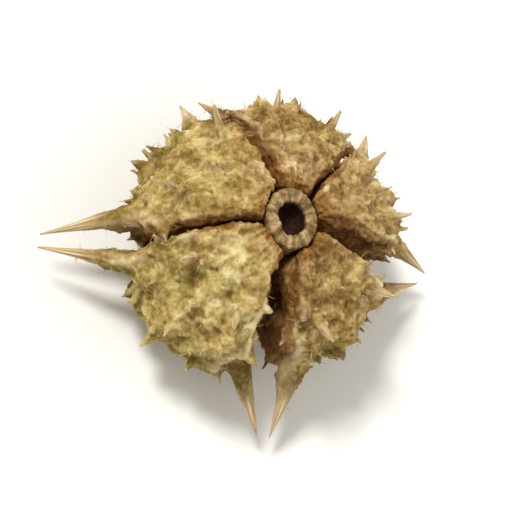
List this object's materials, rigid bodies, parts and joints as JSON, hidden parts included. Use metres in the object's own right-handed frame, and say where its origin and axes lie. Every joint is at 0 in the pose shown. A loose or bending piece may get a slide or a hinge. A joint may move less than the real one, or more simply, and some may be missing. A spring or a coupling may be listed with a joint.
{
  "type": "dried caltrop fruit",
  "caption": "Dried spiny fruit of the land caltrop: wedge-shaped nutlets with horns, short spines and tubercles round a hollow broken stalk end.",
  "frame": {"origin": "centre of the bounding box at the level of the surface it rests on", "axes": "+Z along the fruit's axis towards the stalk end; +X towards the picture's right and +Y towards its top, as seen from above"},
  "size_m": [0.018, 0.0148, 0.0066],
  "materials": {
    "husk": "dry, dull straw-coloured plant husk",
    "stalk": "dry, dull tan stalk fibre"
  },
  "bodies": {
    "root": {"mericarp_1": "husk", "mericarp_2": "husk", "mericarp_3": "husk", "mericarp_4": "husk", "mericarp_5": "husk", "pedicel_stub": "stalk"}
  },
  "joints": []
}
